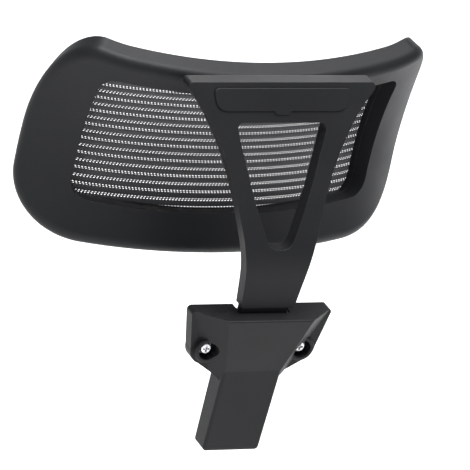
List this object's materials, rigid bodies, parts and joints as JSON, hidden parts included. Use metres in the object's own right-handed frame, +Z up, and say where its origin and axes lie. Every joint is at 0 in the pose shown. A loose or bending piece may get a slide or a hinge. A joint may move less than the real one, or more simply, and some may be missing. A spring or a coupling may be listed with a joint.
{
  "type": "chair headrest attachment",
  "caption": "Curved net headrest pad on a V-shaped yoke that slides in a screw-on holder, adjustable for height and tilt.",
  "frame": {"origin": "on the mounting face, midway between the two mounting screws", "axes": "+Z up along the stem and its height travel, +Y to the rear of the chair, -Y out of the mounting face towards the chair's rail, X across; the sitter's head is on the -Y side"},
  "size_m": [0.324, 0.1652, 0.2965],
  "materials": {
    "support_plastic": "fine spark texture, black",
    "frame_plastic": "fine spark texture, black",
    "net_fabric": "open knitted net, dark grey",
    "strip_plastic": "extruded strip, black",
    "liner_plastic": "natural acetal",
    "shoe_rubber": "moulded rubber",
    "plated_steel": "bright zinc plate",
    "spring_steel": "plain spring steel",
    "bracket_steel": "black powder coat",
    "bush_brass": "turned"
  },
  "bodies": {
    "holder": {"holder_body": "support_plastic", "holder_front_plate": "support_plastic", "plate_screws": "plated_steel", "mounting_screws": "plated_steel", "mounting_washers": "plated_steel", "glide_liner_left": "liner_plastic", "glide_liner_right": "liner_plastic", "friction_shoe": "shoe_rubber", "friction_spring": "spring_steel", "stop_pin": "plated_steel"},
    "yoke": {"yoke": "support_plastic", "crossbar_cover": "support_plastic", "cover_screws": "plated_steel", "hinge_bushes": "bush_brass"},
    "pad": {"pad_rear_frame": "frame_plastic", "pad_front_ring": "frame_plastic", "ring_screws": "plated_steel", "mesh_panel": "net_fabric", "mesh_edge_strip": "strip_plastic", "hinge_bracket_left": "bracket_steel", "hinge_bracket_right": "bracket_steel", "bracket_screws": "plated_steel", "hinge_pin_left": "plated_steel", "hinge_pin_right": "plated_steel", "friction_washers": "liner_plastic", "disc_springs": "spring_steel", "hinge_nuts": "plated_steel"}
  },
  "joints": [
    {"name": "height_slide", "type": "slide", "parent": "holder", "child": "yoke", "axis": [0, 0, 1], "range_m": [0, 0.05]},
    {"name": "pad_tilt", "type": "hinge", "parent": "yoke", "child": "pad", "pos_m": [0, -0.049, 0.186], "axis": [1, 0, 0], "range_deg": [-20, 22]}
  ]
}
